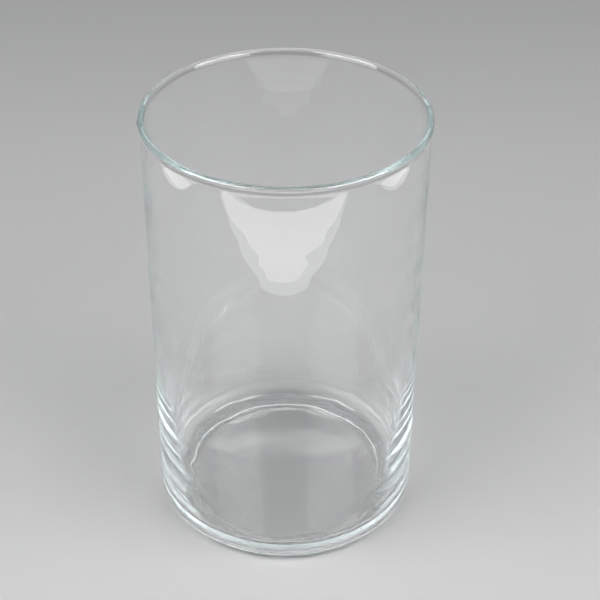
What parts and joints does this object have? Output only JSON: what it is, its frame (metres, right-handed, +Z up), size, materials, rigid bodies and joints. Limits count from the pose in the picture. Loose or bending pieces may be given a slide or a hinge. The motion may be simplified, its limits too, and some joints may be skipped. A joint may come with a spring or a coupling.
{
  "type": "glass cylinder vase",
  "caption": "Clear glass cylinder vase with a straight wall, a round polished rim bead, a wall that thickens towards a thick base, a round heel and a domed underside.",
  "frame": {"origin": "centre of the plane that the vase stands on", "axes": "+Z up along the axis of the round wall, out of the mouth; the vase is the same all round, so +X and +Y have no special direction"},
  "size_m": [0.1528, 0.1528, 0.25],
  "materials": {
    "glass": "clear and polished, with a faint cool green tint in thick glass"
  },
  "bodies": {
    "root": {"glass_vase": "glass"}
  },
  "joints": []
}
